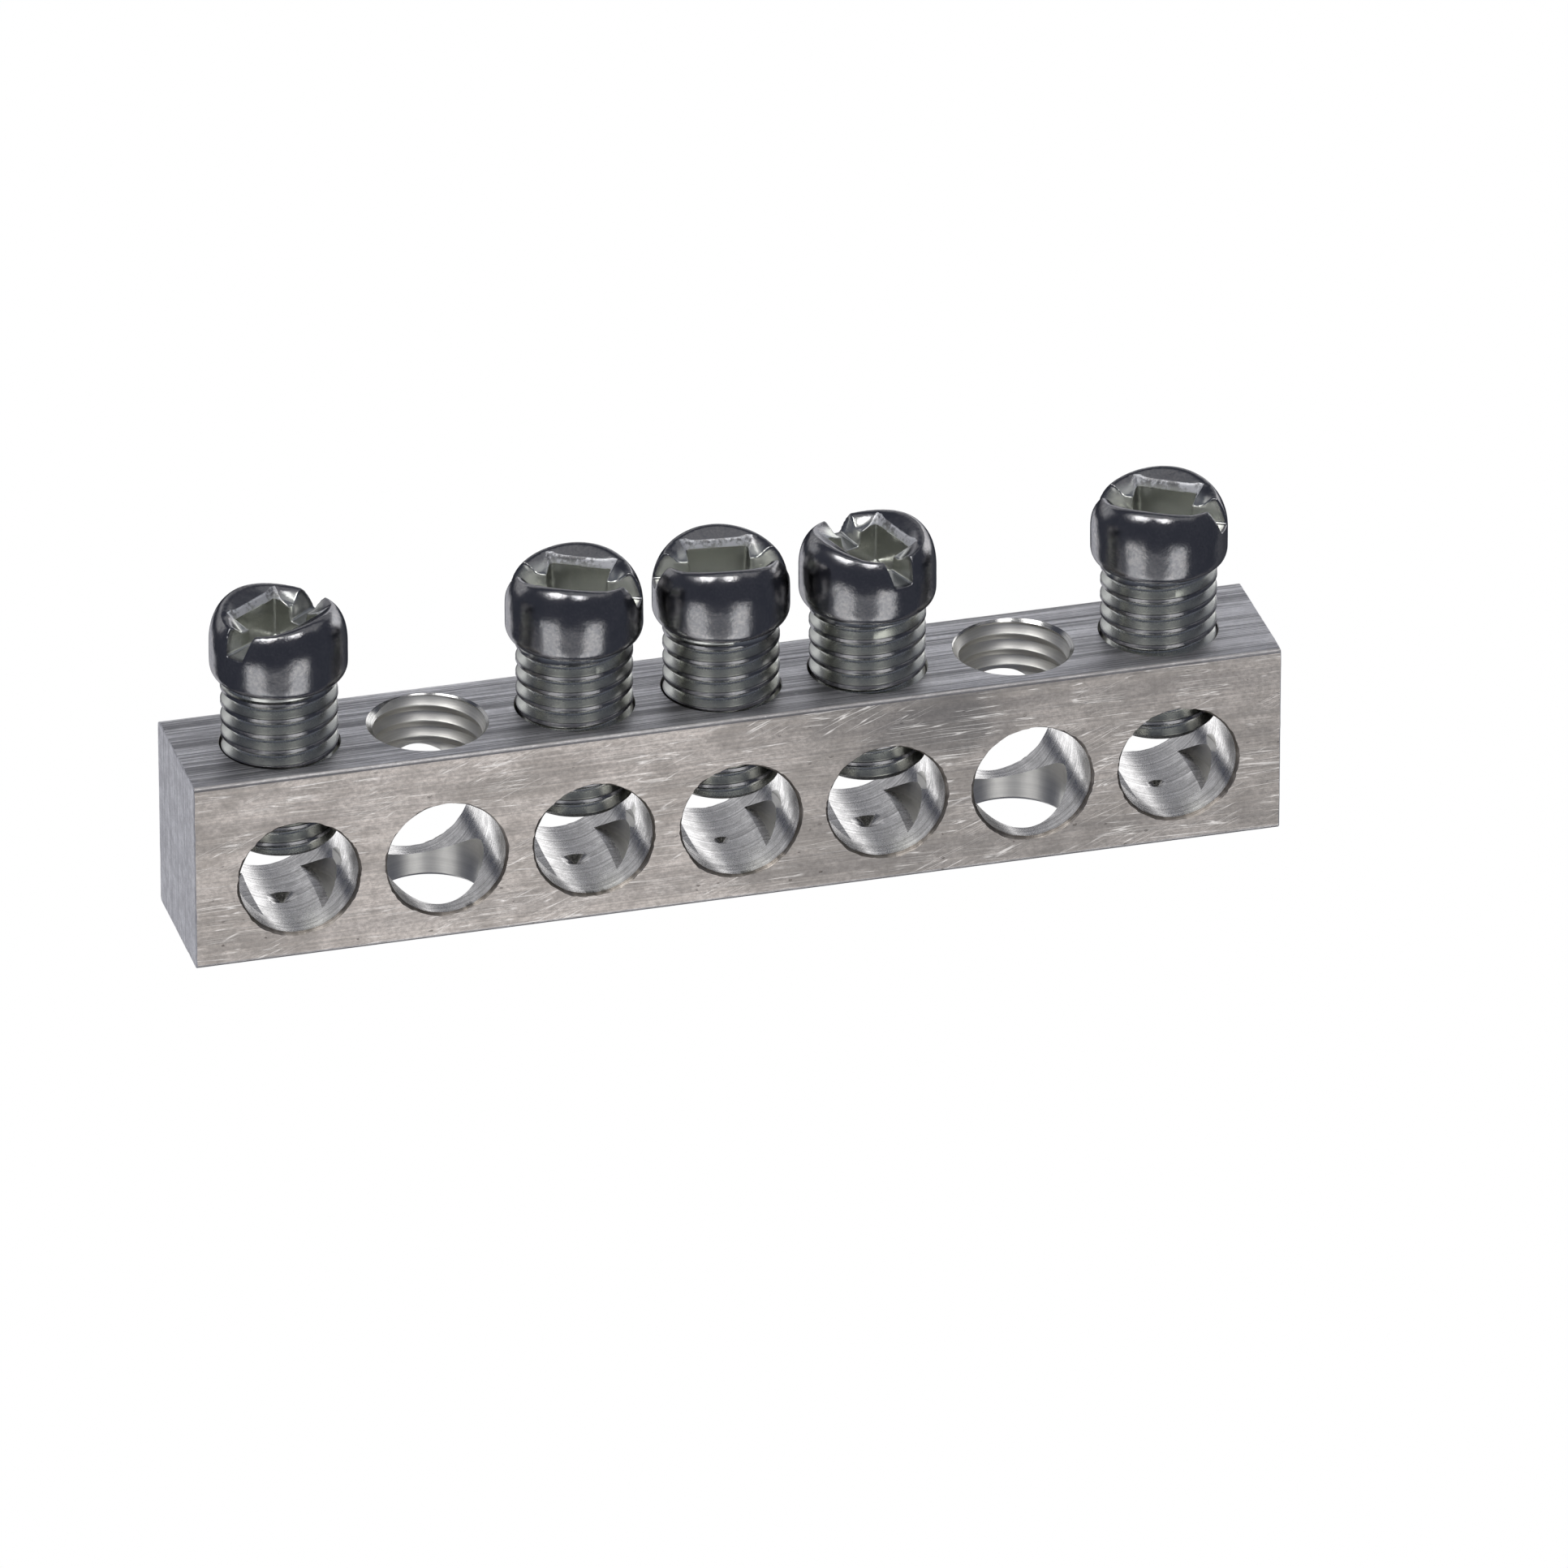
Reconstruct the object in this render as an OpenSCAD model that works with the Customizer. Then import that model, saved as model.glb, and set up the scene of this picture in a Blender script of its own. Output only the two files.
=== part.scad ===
/* [Bar] */
// Length of the bar, end to end
bar_len = 58.8; // [57.6:0.1:64]
// Width of the bar, front to back
bar_w = 7.94; // [7.7:0.02:9]
// Height of the bar
bar_h = 10.7; // [10.3:0.1:12]
// Rounding of the drawn long edges
edge_r = 0.35; // [0.1:0.05:0.6]
// Distance from one drilled position to the next
pitch = 7.9375; // [7.7:0.0125:8]

/* [Holes] */
// Diameter of the wire holes, which run front to back
wire_d = 6.4; // [5.8:0.1:6.6]
// Metal left below each wire hole
wire_floor = 1.4; // [1.2:0.1:1.8]
// Diameter of the drill for the vertical holes
drill_d = 5.74; // [5.6:0.02:5.8]
// Diameter of the centre point of a terminal's drill, where it meets the cutting edges
point_d = 2.8; // [2:0.1:3.4]
// Drop of those edges from the centre point to the drill's rim
rim_drop = 0.07; // [0:0.01:0.15]
// Diameter of the tapped part of a terminal's vertical hole
tap_d = 6.35; // [6.32:0.01:6.35]
// Height at which the tapped part begins
tap_z = 2.78; // [2.6:0.01:2.9]
// Diameter of the countersink of a terminal at the top face
sink_d = 6.6; // [6.5:0.02:7]
// Diameter of the countersink of a mounting hole at the top face
mounting_sink_d = 6.42; // [6.3:0.02:6.8]
// Chamfer at the lower mouth of a mounting hole
mouth_chamfer = 0.2; // [0.1:0.05:0.4]

/* [Screw shank] */
// Length of the shank below the head
shank_len = 9.525; // [9:0.025:10]
// Diameter over the thread's crests
thread_d = 6.16; // [6.1:0.01:6.2]
// Rise of the thread in one turn
thread_pitch = 0.907; // [0.85:0.001:0.98]
// Depth of the thread
thread_depth = 0.5; // [0.3:0.02:0.55]
// Width of the flat on each crest
crest_w = 0.2; // [0.15:0.01:0.26]
// Diameter of the plain neck under the head
neck_d = 5.9; // [5.6:0.05:6]
// Length of the plain neck
neck_len = 0.35; // [0.2:0.05:0.6]
// Bevel at the end of the shank
tip_bevel = 0.5; // [0.3:0.05:0.7]

/* [Screw head] */
// Diameter of the head
head_d = 7.26; // [7:0.02:7.4]
// Height of the rounded lower edge
foot_h = 0.7; // [0.4:0.05:0.8]
// Width of the rounded lower edge
foot_w = 0.48; // [0.3:0.02:0.6]
// Height at which the upright side ends
side_h = 1.75; // [1.4:0.05:2]
// Height of the edge between the shoulder and the crown
shoulder_h = 3.4; // [3.2:0.05:3.5]
// Diameter of that edge
crown_d = 6; // [5.6:0.1:6.4]
// Height of the head with its crown
head_h = 3.85; // [3.75:0.05:4]

/* [Recess] */
// Width of the driver slot at its floor
slot_floor_w = 1; // [0.8:0.05:1.2]
// Width of the driver slot at the crown's edge
slot_top_w = 1.6; // [1.5:0.05:1.9]
// Height of the slot's floor above the head's underside
slot_floor_h = 2.15; // [1.9:0.05:2.4]
// Width of the square socket below its bevel
socket_w = 3.2; // [2.8:0.05:3.4]
// Width of the square socket at its floor
socket_floor_w = 2.9; // [2.6:0.05:3]
// Height of the socket's floor above the head's underside
socket_floor_h = 1.1; // [0.9:0.05:1.5]
// Drop of the bevel round the recess
bevel_h = 0.55; // [0.3:0.05:0.7]
// Width of the bevel round the recess
bevel_w = 0.4; // [0.2:0.05:0.5]

/* [Hidden] */
$fn = 96;

// The seven positions are counted from the left, and the middle one is on the bar's centre
positions = [1:7];
middle_position = 4;
terminals = [1, 3, 4, 5, 7];
mounting_positions = [2, 6];
// Direction of the driver slot and gap under the head, in the order of the terminals
slot_angles = [36, -28, -7, 107, -32];
head_gaps = [4.1, 4.14, 4.1, 4.08, 4.28];
// Depth of the drill's centre point below the floor of each terminal's wire hole
point_depths = [0.36, 0.34, 0.21, 0.38, 0.23];

wire_z = wire_floor + wire_d / 2;
// The drill's centre point has an included angle of 118 degrees
point_h = point_d / 2 / tan(59);
cut = 1;

neck_r = neck_d / 2;
crest_r = thread_d / 2;
root_r = crest_r - thread_depth;
flank_w = (thread_pitch - crest_w) * 0.44;
root_w = thread_pitch - crest_w - 2 * flank_w;
thread_top = -neck_len;
turns = floor((shank_len - neck_len - tip_bevel - flank_w) / thread_pitch);
// Ellipse that rounds the shoulder, from the end of the side to the edge of the crown
shoulder_in = 2.2;
shoulder_w = head_d / 2 - shoulder_in;
shoulder_end = acos((crown_d / 2 - shoulder_in) / shoulder_w);
shoulder_rise = (shoulder_h - side_h) / sin(shoulder_end);
// The crown rises from its edge to a ring, in the middle of which the recess is formed
crown_ring_r = crown_d / 2 - 0.4;
arc_steps = 12;

function position_x(k) = (k - middle_position) * pitch;
function terminal_index(k) = search(k, terminals)[0];

// A box along X with all four long edges rounded
module drawn_bar(length, width, height, r) {
    inner_w = width - 2 * r;
    inner_h = height - 2 * r;
    translate([-length / 2, -width / 2, r]) cube([length, width, inner_h]);
    translate([-length / 2, -inner_w / 2, 0]) cube([length, inner_w, height]);
    for (y = [-1, 1], z = [r, height - r])
        translate([-length / 2, y * inner_w / 2, z]) rotate([0, 90, 0]) cylinder(r = r, h = length);
}

// The clearance hole of a mounting screw, through both walls
module mounting_hole() {
    sink_h = (mounting_sink_d - drill_d) / 2;
    translate([0, 0, -cut]) cylinder(d = drill_d, h = bar_h + 2 * cut);
    translate([0, 0, bar_h - sink_h])
        cylinder(d1 = drill_d, d2 = mounting_sink_d + 2 * cut, h = sink_h + cut);
    translate([0, 0, -cut])
        cylinder(d1 = drill_d + 2 * (mouth_chamfer + cut), d2 = drill_d, h = mouth_chamfer + cut);
}

// The hole of a clamping screw: tapped above, with a nearly level shoulder and a centre point below
module terminal_hole(point_depth) {
    sink_h = (sink_d - tap_d) / 2;
    point_z = wire_floor - point_depth;
    shoulder_z = point_z + point_h;
    rotate_extrude() polygon([
        [0, point_z], [point_d / 2, shoulder_z], [drill_d / 2, shoulder_z - rim_drop],
        [drill_d / 2, tap_z], [tap_d / 2, tap_z], [tap_d / 2, bar_h - sink_h],
        [sink_d / 2 + cut, bar_h + cut], [0, bar_h + cut]]);
}

module bar() {
    color([0.66, 0.65, 0.63])
    difference() {
        drawn_bar(bar_len, bar_w, bar_h, edge_r);
        for (k = positions)
            translate([position_x(k), bar_w / 2 + cut, wire_z])
                rotate([90, 0, 0]) cylinder(d = wire_d, h = bar_w + 2 * cut);
        for (k = mounting_positions) translate([position_x(k), 0, 0]) mounting_hole();
        for (k = terminals)
            translate([position_x(k), 0, 0]) terminal_hole(point_depths[terminal_index(k)]);
    }
}

// Half outline of the shank, from its end up to the head: each turn is a groove with two flanks
function shank_outline() = concat(
    [[0, -shank_len], [crest_r - tip_bevel, -shank_len], [crest_r, -shank_len + tip_bevel]],
    [for (t = [turns - 1:-1:0])
        let (top = thread_top - t * thread_pitch)
        each [
            [crest_r, top - flank_w * 2 - root_w],
            [root_r, top - flank_w - root_w],
            [root_r, top - flank_w],
            [t == 0 ? neck_r : crest_r, top]
        ]],
    [[neck_r, 0]]);

// Half outline of the head, from its underside up to the middle of the crown
function head_outline() = concat(
    [for (i = [0:arc_steps])
        let (a = -90 + 90 * i / arc_steps)
        [head_d / 2 - foot_w + foot_w * cos(a), foot_h + foot_h * sin(a)]],
    [for (i = [0:arc_steps])
        let (a = shoulder_end * i / arc_steps)
        [shoulder_in + shoulder_w * cos(a), side_h + shoulder_rise * sin(a)]],
    [[crown_ring_r, head_h - 0.05], [crown_ring_r - 0.3, head_h], [0, head_h]]);

// A prism along X, whose section is narrow at the floor and wide at the crown
module flared_slot(floor_w, top_w, floor_h, length) {
    rim_h = head_h - bevel_h;
    translate([length / 2, 0, 0]) rotate([90, 0, -90]) linear_extrude(length) polygon([
        [-floor_w / 2, floor_h], [floor_w / 2, floor_h],
        [top_w / 2, rim_h], [top_w / 2 + bevel_w, head_h],
        [top_w / 2 + bevel_w, head_h + cut], [-top_w / 2 - bevel_w, head_h + cut],
        [-top_w / 2 - bevel_w, head_h], [-top_w / 2, rim_h]]);
}

// A slot across the whole head and a square socket in its middle, both with a bevelled mouth
module driver_recess() {
    flared_slot(slot_floor_w, slot_top_w, slot_floor_h, head_d + 2 * cut);
    intersection() {
        flared_slot(socket_floor_w, socket_w, socket_floor_h, head_d);
        rotate([0, 0, 90]) flared_slot(socket_floor_w, socket_w, socket_floor_h, head_d);
    }
}

module terminal_screw(k) {
    i = terminal_index(k);
    color([0.42, 0.43, 0.44])
    translate([position_x(k), 0, bar_h + head_gaps[i]]) rotate([0, 0, slot_angles[i]])
    difference() {
        rotate_extrude() polygon(concat(shank_outline(), head_outline()));
        driver_recess();
    }
}

bar();
terminal_screw(1);  // terminal_screw_1
terminal_screw(3);  // terminal_screw_3
terminal_screw(4);  // terminal_screw_4
terminal_screw(5);  // terminal_screw_5
terminal_screw(7);  // terminal_screw_7
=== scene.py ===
"""Looks of an earth terminal bar: a drawn aluminium bar and its five clamping screws.

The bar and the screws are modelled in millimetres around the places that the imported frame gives, and are
scaled to metres once they are whole. Every finish is procedural.
"""
import logging
import math
from dataclasses import dataclass
from enum import Enum
from typing import Callable, Sequence

import bpy
import numpy as np
from bpy.types import Material, Node, NodeSocket, NodeTree, Object
from mathutils import Matrix, Vector, noise


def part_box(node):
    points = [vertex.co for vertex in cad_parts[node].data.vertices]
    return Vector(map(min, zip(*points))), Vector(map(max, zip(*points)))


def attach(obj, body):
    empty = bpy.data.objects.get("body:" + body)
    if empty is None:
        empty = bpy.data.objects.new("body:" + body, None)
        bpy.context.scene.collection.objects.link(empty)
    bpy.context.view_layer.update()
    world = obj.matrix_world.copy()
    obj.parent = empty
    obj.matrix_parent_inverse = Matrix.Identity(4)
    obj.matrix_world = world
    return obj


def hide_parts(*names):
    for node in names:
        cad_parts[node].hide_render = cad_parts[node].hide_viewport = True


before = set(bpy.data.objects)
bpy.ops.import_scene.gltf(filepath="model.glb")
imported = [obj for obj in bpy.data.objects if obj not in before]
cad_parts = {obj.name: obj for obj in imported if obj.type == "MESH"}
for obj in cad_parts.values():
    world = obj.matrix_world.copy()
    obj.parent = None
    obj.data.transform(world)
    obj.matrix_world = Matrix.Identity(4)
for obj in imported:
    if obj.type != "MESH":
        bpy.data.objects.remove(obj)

LOG = logging.getLogger("terminal_bar")
MM = 0.001
TAU = 2 * math.pi
# The first layer marks where a lighter colour is painted as fill light in the recess and the threads; the
# second where the socket's ripped mouth is whitened, partly as a painted highlight.
SCREW_LAYERS = ("sheltered", "coined")
Colour = tuple[float, float, float, float]


class Operation(Enum):
    """How one solid is combined with another."""

    CUT = "DIFFERENCE"
    KEEP = "INTERSECT"
    JOIN = "UNION"


class Surface(Enum):
    """The kinds of surface on the bar, in the order of its material slots."""

    FACE = 0
    TOP = 1
    END = 2
    DRILLED = 3
    TAPPED = 4
    RIM = 5
    EDGE = 6
    BEVEL = 7


class Hole(Enum):
    """What a position of the bar is made for."""

    TERMINAL = "terminal"
    MOUNTING = "mounting"


@dataclass
class Shape:
    """One closed shape, in millimetres.

    Attributes:
        points: the corners, one row of x, y and z each.
        faces: the corners' numbers round each face, seen from outside anticlockwise.
    """

    points: np.ndarray
    faces: list[tuple[int, ...]]

    def placed(self, matrix: Matrix) -> "Shape":
        """Gives a copy of the shape where the matrix puts it."""
        grid = np.array(matrix)
        return Shape(self.points @ grid[:3, :3].T + grid[:3, 3], self.faces)

    def as_object(self, name: str) -> Object:
        """Makes an object of the shape.

        Args:
            name: the object's name.

        Returns:
            The new object, linked to the scene and still in millimetres.
        """
        mesh = bpy.data.meshes.new(name)
        mesh.from_pydata(self.points.tolist(), [], self.faces)
        mesh.update()
        made = bpy.data.objects.new(name, mesh)
        bpy.context.scene.collection.objects.link(made)
        return made


def lathe(outline: Sequence[tuple[float, float]], segments: int,
          change: Callable[[float, float, float], tuple[float, float]] | None = None) -> Shape:
    """Turns a half outline about the Z axis.

    Args:
        outline: radius and height of each ring, from the bottom up, with no ring on the axis.
        segments: number of facets round the axis.
        change: gives a new radius and height from the angle, the radius and the height.

    Returns:
        The turned shape, closed by a fan at the bottom and at the top.
    """
    points = []
    for radius, height in outline:
        for step in range(segments):
            angle = TAU * step / segments
            r, z = change(angle, radius, height) if change else (radius, height)
            points.append((r * math.cos(angle), r * math.sin(angle), z))
    rows = len(outline)
    faces = []
    for row in range(rows - 1):
        for step in range(segments):
            a, b = row * segments + step, row * segments + (step + 1) % segments
            faces.append((a, b, b + segments, a + segments))
    last = (rows - 1) * segments
    low, high = len(points), len(points) + 1
    points += [(0, 0, np.mean([p[2] for p in points[:segments]])),
               (0, 0, np.mean([p[2] for p in points[last:last + segments]]))]
    for step in range(segments):
        after = (step + 1) % segments
        faces += [(low, after, step), (high, last + step, last + after)]
    return Shape(np.array(points, float), faces)


def helical_rod(turn: Sequence[tuple[float, float]], pitch: float, low: float, high: float,
                segments: int, phase: float = 0.0) -> Shape:
    """Makes a rod with a right-handed helical thread, whose rows of corners follow the helix.

    Args:
        turn: share of the pitch and radius of each row of one turn, from the bottom up.
        pitch: rise in one turn.
        low: height at which the thread begins.
        high: height at which it ends.
        segments: number of facets round the axis.
        phase: angle by which the thread is turned.

    Returns:
        The rod, closed by a fan at the bottom and at the top.
    """
    per_turn = len(turn)
    rows = int((high - low) / pitch) * per_turn
    points = []

    def corner(row: int, step: int) -> int:
        """Gives the number of a corner, where the end of a row is the start of the row a turn higher."""
        return row * segments + step if step < segments else (row + per_turn) * segments

    for row in range(rows + per_turn):
        share, radius = turn[row % per_turn]
        start = low + (row // per_turn + share) * pitch
        for step in range(segments):
            angle = TAU * step / segments
            points.append((radius * math.cos(angle + phase), radius * math.sin(angle + phase),
                           start + pitch * step / segments))
    faces = [(corner(row, step), corner(row, step + 1), corner(row + 1, step + 1), corner(row + 1, step))
             for row in range(rows - 1) for step in range(segments)]
    floor, roof = len(points), len(points) + 1
    points += [(0, 0, low - pitch / 2), (0, 0, points[corner(rows - 1, segments)][2] + pitch / 2)]
    under = [corner(0, step) for step in range(segments)] + [corner(row, 0) for row in range(per_turn, 0, -1)]
    over = ([corner(rows - 1, step) for step in range(segments)]
            + [corner(rows - 1 + row, 0) for row in range(per_turn, 0, -1)])
    faces += [(floor, b, a) for a, b in zip(under, under[1:] + under[:1])]
    faces += [(roof, a, b) for a, b in zip(over, over[1:] + over[:1])]
    used = sorted({n for face in faces for n in face})
    place = {old: new for new, old in enumerate(used)}
    return Shape(np.array(points, float)[used], [tuple(place[n] for n in face) for face in faces])


def loft(sections: Sequence[Sequence[tuple[float, float, float]]]) -> Shape:
    """Joins sections of equal numbers of corners into one closed shape.

    Args:
        sections: the corners of each section, anticlockwise when seen from the last section.

    Returns:
        The shape, with its first and last sections as flat ends.
    """
    count = len(sections[0])
    faces: list[tuple[int, ...]] = [tuple(reversed(range(count)))]
    for level in range(len(sections) - 1):
        for step in range(count):
            a, b = level * count + step, level * count + (step + 1) % count
            faces.append((a, b, b + count, a + count))
    faces.append(tuple(range((len(sections) - 1) * count, len(sections) * count)))
    return Shape(np.array([p for section in sections for p in section], float), faces)


def settle(piece: Object) -> None:
    """Puts the result of a piece's modifiers into its mesh.

    Args:
        piece: the object to settle.
    """
    graph = bpy.context.evaluated_depsgraph_get()
    old = piece.data
    mesh = bpy.data.meshes.new_from_object(piece.evaluated_get(graph), depsgraph=graph)
    piece.modifiers.clear()
    piece.data = mesh
    mesh.name = piece.name
    bpy.data.meshes.remove(old)


def combine(piece: Object, shape: Shape | Object, how: Operation) -> None:
    """Combines a piece with another solid and removes that solid.

    Args:
        piece: the object that is changed.
        shape: the other solid.
        how: the operation.
    """
    tool = shape.as_object("tool") if isinstance(shape, Shape) else shape
    step = piece.modifiers.new(how.value, "BOOLEAN")
    step.operation = how.value
    step.solver = "MANIFOLD"
    step.object = tool
    settle(piece)
    mesh = tool.data
    bpy.data.objects.remove(tool)
    bpy.data.meshes.remove(mesh)


def read_rows(items: bpy.types.bpy_prop_collection, what: str) -> np.ndarray:
    """Reads a place or a direction of each of a mesh's corners or faces.

    Args:
        items: the corners or the faces.
        what: name of the place or direction, such as "co", "center" or "normal".

    Returns:
        One row of x, y and z for each.
    """
    values = np.empty(len(items) * 3)
    items.foreach_get(what, values)
    return values.reshape(-1, 3)


def to_metres(piece: Object) -> None:
    """Scales a whole piece's mesh from millimetres to metres."""
    piece.data.transform(Matrix.Scale(MM, 4))


def grain_at(place: Vector, seed: float) -> float:
    """Gives a smooth random value from -1 to 1 at a place, the same for the same seed."""
    return noise.noise(place + Vector((seed, -seed, 2 * seed)))


@dataclass(frozen=True)
class Box:
    """A node's box in the frame, in millimetres.

    Attributes:
        low, high: its lowest and highest corners.
    """

    low: Vector
    high: Vector

    @staticmethod
    def of(node: str) -> "Box":
        """Reads a node's box from the frame."""
        low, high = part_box(node)
        return Box(Vector(low) / MM, Vector(high) / MM)

    @property
    def middle(self) -> Vector:
        """The middle of the box."""
        return (self.low + self.high) / 2

    @property
    def size(self) -> Vector:
        """The box's extent along X, Y and Z."""
        return self.high - self.low


class Value:
    """A shader socket to reckon with. Each step adds a node to the socket's tree."""

    def __init__(self, graph: "Graph", socket: NodeSocket) -> None:
        """Takes the socket and the graph that it belongs to."""
        self.graph = graph
        self.socket = socket

    def __add__(self, other: object) -> "Value":
        """Adds another value."""
        return self.graph.math("ADD", self, other)

    def __sub__(self, other: object) -> "Value":
        """Takes another value away."""
        return self.graph.math("SUBTRACT", self, other)

    def __rsub__(self, other: object) -> "Value":
        """Takes this value away from a number."""
        return self.graph.math("SUBTRACT", other, self)

    def __mul__(self, other: object) -> "Value":
        """Multiplies by another value."""
        return self.graph.math("MULTIPLY", self, other)

    def __truediv__(self, other: object) -> "Value":
        """Divides by another value."""
        return self.graph.math("DIVIDE", self, other)

    def remap(self, low: object, high: float, to_low: float = 0.0, to_high: float = 1.0) -> "Value":
        """Maps the range from low to high smoothly to that from to_low to to_high, and clamps it."""
        return self.graph.value("MapRange", self, low, high, to_low, to_high, interpolation_type="SMOOTHSTEP")

    def stretch(self, along: float, across: float) -> "Value":
        """Scales coordinates by one factor along X and by another along Y and Z."""
        return self.graph.value("VectorMath", self, (along, across, across), operation="MULTIPLY")


class Graph:
    """Adds nodes to a shader tree and joins their sockets."""

    def __init__(self, tree: NodeTree) -> None:
        """Takes the tree that nodes are added to."""
        self.tree = tree

    def feed(self, socket: NodeSocket, value: object) -> None:
        """Gives an input its number, or joins it to a value.

        Args:
            socket: the input.
            value: the number or value; None leaves the input as it is.
        """
        if isinstance(value, Value):
            self.tree.links.new(value.socket, socket)
        elif value is not None:
            socket.default_value = value

    def add(self, kind: str, *inputs: object, **named: object) -> Node:
        """Adds a node.

        Args:
            kind: the node's type without its "ShaderNode" prefix.
            inputs: numbers or values for the inputs, in order; None leaves one as it is.
            named: numbers or values by the input's name, or settings of the node.

        Returns:
            The new node.
        """
        node = self.tree.nodes.new("ShaderNode" + kind)
        settings = {k: v for k, v in named.items() if k not in node.inputs and hasattr(node, k)}
        for key, value in settings.items():
            setattr(node, key, value)
        for number, value in enumerate(inputs):
            self.feed(node.inputs[number], value)
        for key, value in named.items():
            if key not in settings:
                self.feed(node.inputs[key], value)
        return node

    def value(self, kind: str, *inputs: object, out: int | str = 0, **named: object) -> Value:
        """Adds a node and returns its output of that number or name."""
        return Value(self, self.add(kind, *inputs, **named).outputs[out])

    def math(self, operation: str, *values: object) -> Value:
        """Adds a Math node and returns its result."""
        return self.value("Math", *values, operation=operation)

    def noise(self, place: Value, scale: object = 1.0, detail: float = 2.0, roughness: float = 0.5) -> Value:
        """Adds smooth noise and returns its strength."""
        return self.value("TexNoise", Vector=place, Scale=scale, Detail=detail, Roughness=roughness)

    def blend(self, share: Value, first: object, second: object) -> Value:
        """Mixes two colours.

        Args:
            share: how much of the second colour there is.
            first: the first colour.
            second: the second colour.

        Returns:
            The mixed colour.
        """
        node = self.add("Mix", data_type="RGBA")
        for number, value in ((0, share), (6, first), (7, second)):
            self.feed(node.inputs[number], value)
        return Value(self, node.outputs[2])


Values = dict[str, Value]
Fill = Callable[[Graph, Values], Values]


class Effect:
    """A node group that finishes share, built when it is first placed in one."""

    def __init__(self, fill: Fill, inputs: dict[str, float | None]) -> None:
        """Takes what the group is built from.

        Args:
            fill: adds the group's nodes and gives its outputs by name.
            inputs: each input's name and starting value, which is None for a vector.
        """
        self.fill = fill
        self.inputs = inputs
        self.tree: NodeTree | None = None

    def build(self) -> NodeTree:
        """Builds the group.

        Returns:
            The group's tree.
        """
        tree = bpy.data.node_groups.new(self.fill.__name__.replace("_", " "), "ShaderNodeTree")
        for key, value in self.inputs.items():
            kind = "NodeSocketVector" if value is None else "NodeSocketFloat"
            socket = tree.interface.new_socket(name=key, in_out="INPUT", socket_type=kind)
            if value is not None:
                socket.default_value = value
        graph = Graph(tree)
        entry = tree.nodes.new("NodeGroupInput")
        results = self.fill(graph, {key: Value(graph, entry.outputs[key]) for key in self.inputs})
        for key in results:
            tree.interface.new_socket(name=key, in_out="OUTPUT", socket_type="NodeSocketFloat")
        leave = tree.nodes.new("NodeGroupOutput")
        for key, value in results.items():
            graph.feed(leave.inputs[key], value)
        return tree

    def __call__(self, graph: Graph, **values: object) -> Values:
        """Places the group in a material.

        Args:
            graph: the material's graph.
            values: numbers or values by the input's name.

        Returns:
            The group's outputs by name.
        """
        if self.tree is None:
            self.tree = self.build()
        node = graph.tree.nodes.new("ShaderNodeGroup")
        node.node_tree = self.tree
        for key, value in values.items():
            graph.feed(node.inputs[key], value)
        return {out.name: Value(graph, out) for out in node.outputs}


def effect(**inputs: float | None) -> Callable[[Fill], Effect]:
    """Makes a shared effect of the function below it, with these inputs."""
    return lambda fill: Effect(fill, inputs)


@effect(Place=None)
def drawn_lines(g: Graph, into: Values) -> Values:
    """Layers wide, fine and broken lines along X, as drawing through a die leaves them.

    Args:
        g: the group's graph.
        into: the group's inputs by name.

    Returns:
        The group's outputs by name.
    """
    place = into["Place"]
    wide = g.noise(place.stretch(0.012, 1.3), detail=4.0)
    fine = g.noise(place.stretch(0.03, 9.0), detail=5.0, roughness=0.75)
    broken = g.noise(place.stretch(0.28, 16.0), detail=3.0)
    height = wide * 0.55 + fine * 0.75 + broken * 0.3
    return {"Height": height, "Mask": height.remap(0.7, 0.9)}


@effect(Place=None, Amount=1.0)
def scratches(g: Graph, into: Values) -> Values:
    """Takes thin scratches, nearly along X, out of stretched noise where a loose patch allows them.

    Args:
        g: the group's graph.
        into: the group's inputs by name.

    Returns:
        The group's outputs by name.
    """
    found = []
    for angle, shift in ((0.012, 3.1), (-0.03, 17.7), (0.4, 41.3)):
        turned = g.value("VectorRotate", into["Place"], None, None, angle, rotation_type="Y_AXIS")
        moved = g.value("VectorMath", turned, (shift, shift, shift))
        lines = g.noise(moved.stretch(0.11, 3.4), detail=1.0)
        thin = 1.0 - g.math("ABSOLUTE", lines - 0.55).remap(0.003, 0.016)
        found.append(thin * g.noise(moved.stretch(0.35, 0.5)).remap(0.48, 0.6))
    most = g.math("MAXIMUM", g.math("MAXIMUM", found[0], found[1]), found[2])
    return {"Mask": most * into["Amount"]}


@effect(Place=None, Fineness=2.0, Gap=0.6)
def pits(g: Graph, into: Values) -> Values:
    """Draws a small ragged spot round some of the cells' points.

    Args:
        g: the group's graph.
        into: the group's inputs by name.

    Returns:
        The group's outputs by name.
    """
    ragged = g.value("TexNoise", out=1, Vector=into["Place"], Scale=7.0, Detail=2.0)
    moved = g.value("VectorMath", into["Place"], ragged.stretch(0.16, 0.16))
    cells = g.add("TexVoronoi", Vector=moved, Scale=into["Fineness"])
    pick = g.value("SeparateColor", Value(g, cells.outputs["Color"]))
    reach = pick.remap(into["Gap"], 1.0, 0.0, 0.24)
    share = Value(g, cells.outputs["Distance"]) / g.math("MAXIMUM", reach, 0.0001)
    return {"Mask": 1.0 - share.remap(0.55, 1.0)}


@effect(Place=None, Fineness=1.0)
def mottle(g: Graph, into: Values) -> Values:
    """Sums soft irregular patches and finer ones inside them.

    Args:
        g: the group's graph.
        into: the group's inputs by name.

    Returns:
        The group's outputs by name.
    """
    coarse = g.noise(into["Place"], into["Fineness"], 6.0, 0.62)
    fine = g.noise(into["Place"], into["Fineness"] * 6.3, 3.0)
    both = coarse * 0.65 + fine * 0.35
    return {"Height": both, "Mask": both.remap(0.4, 0.6)}


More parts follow.
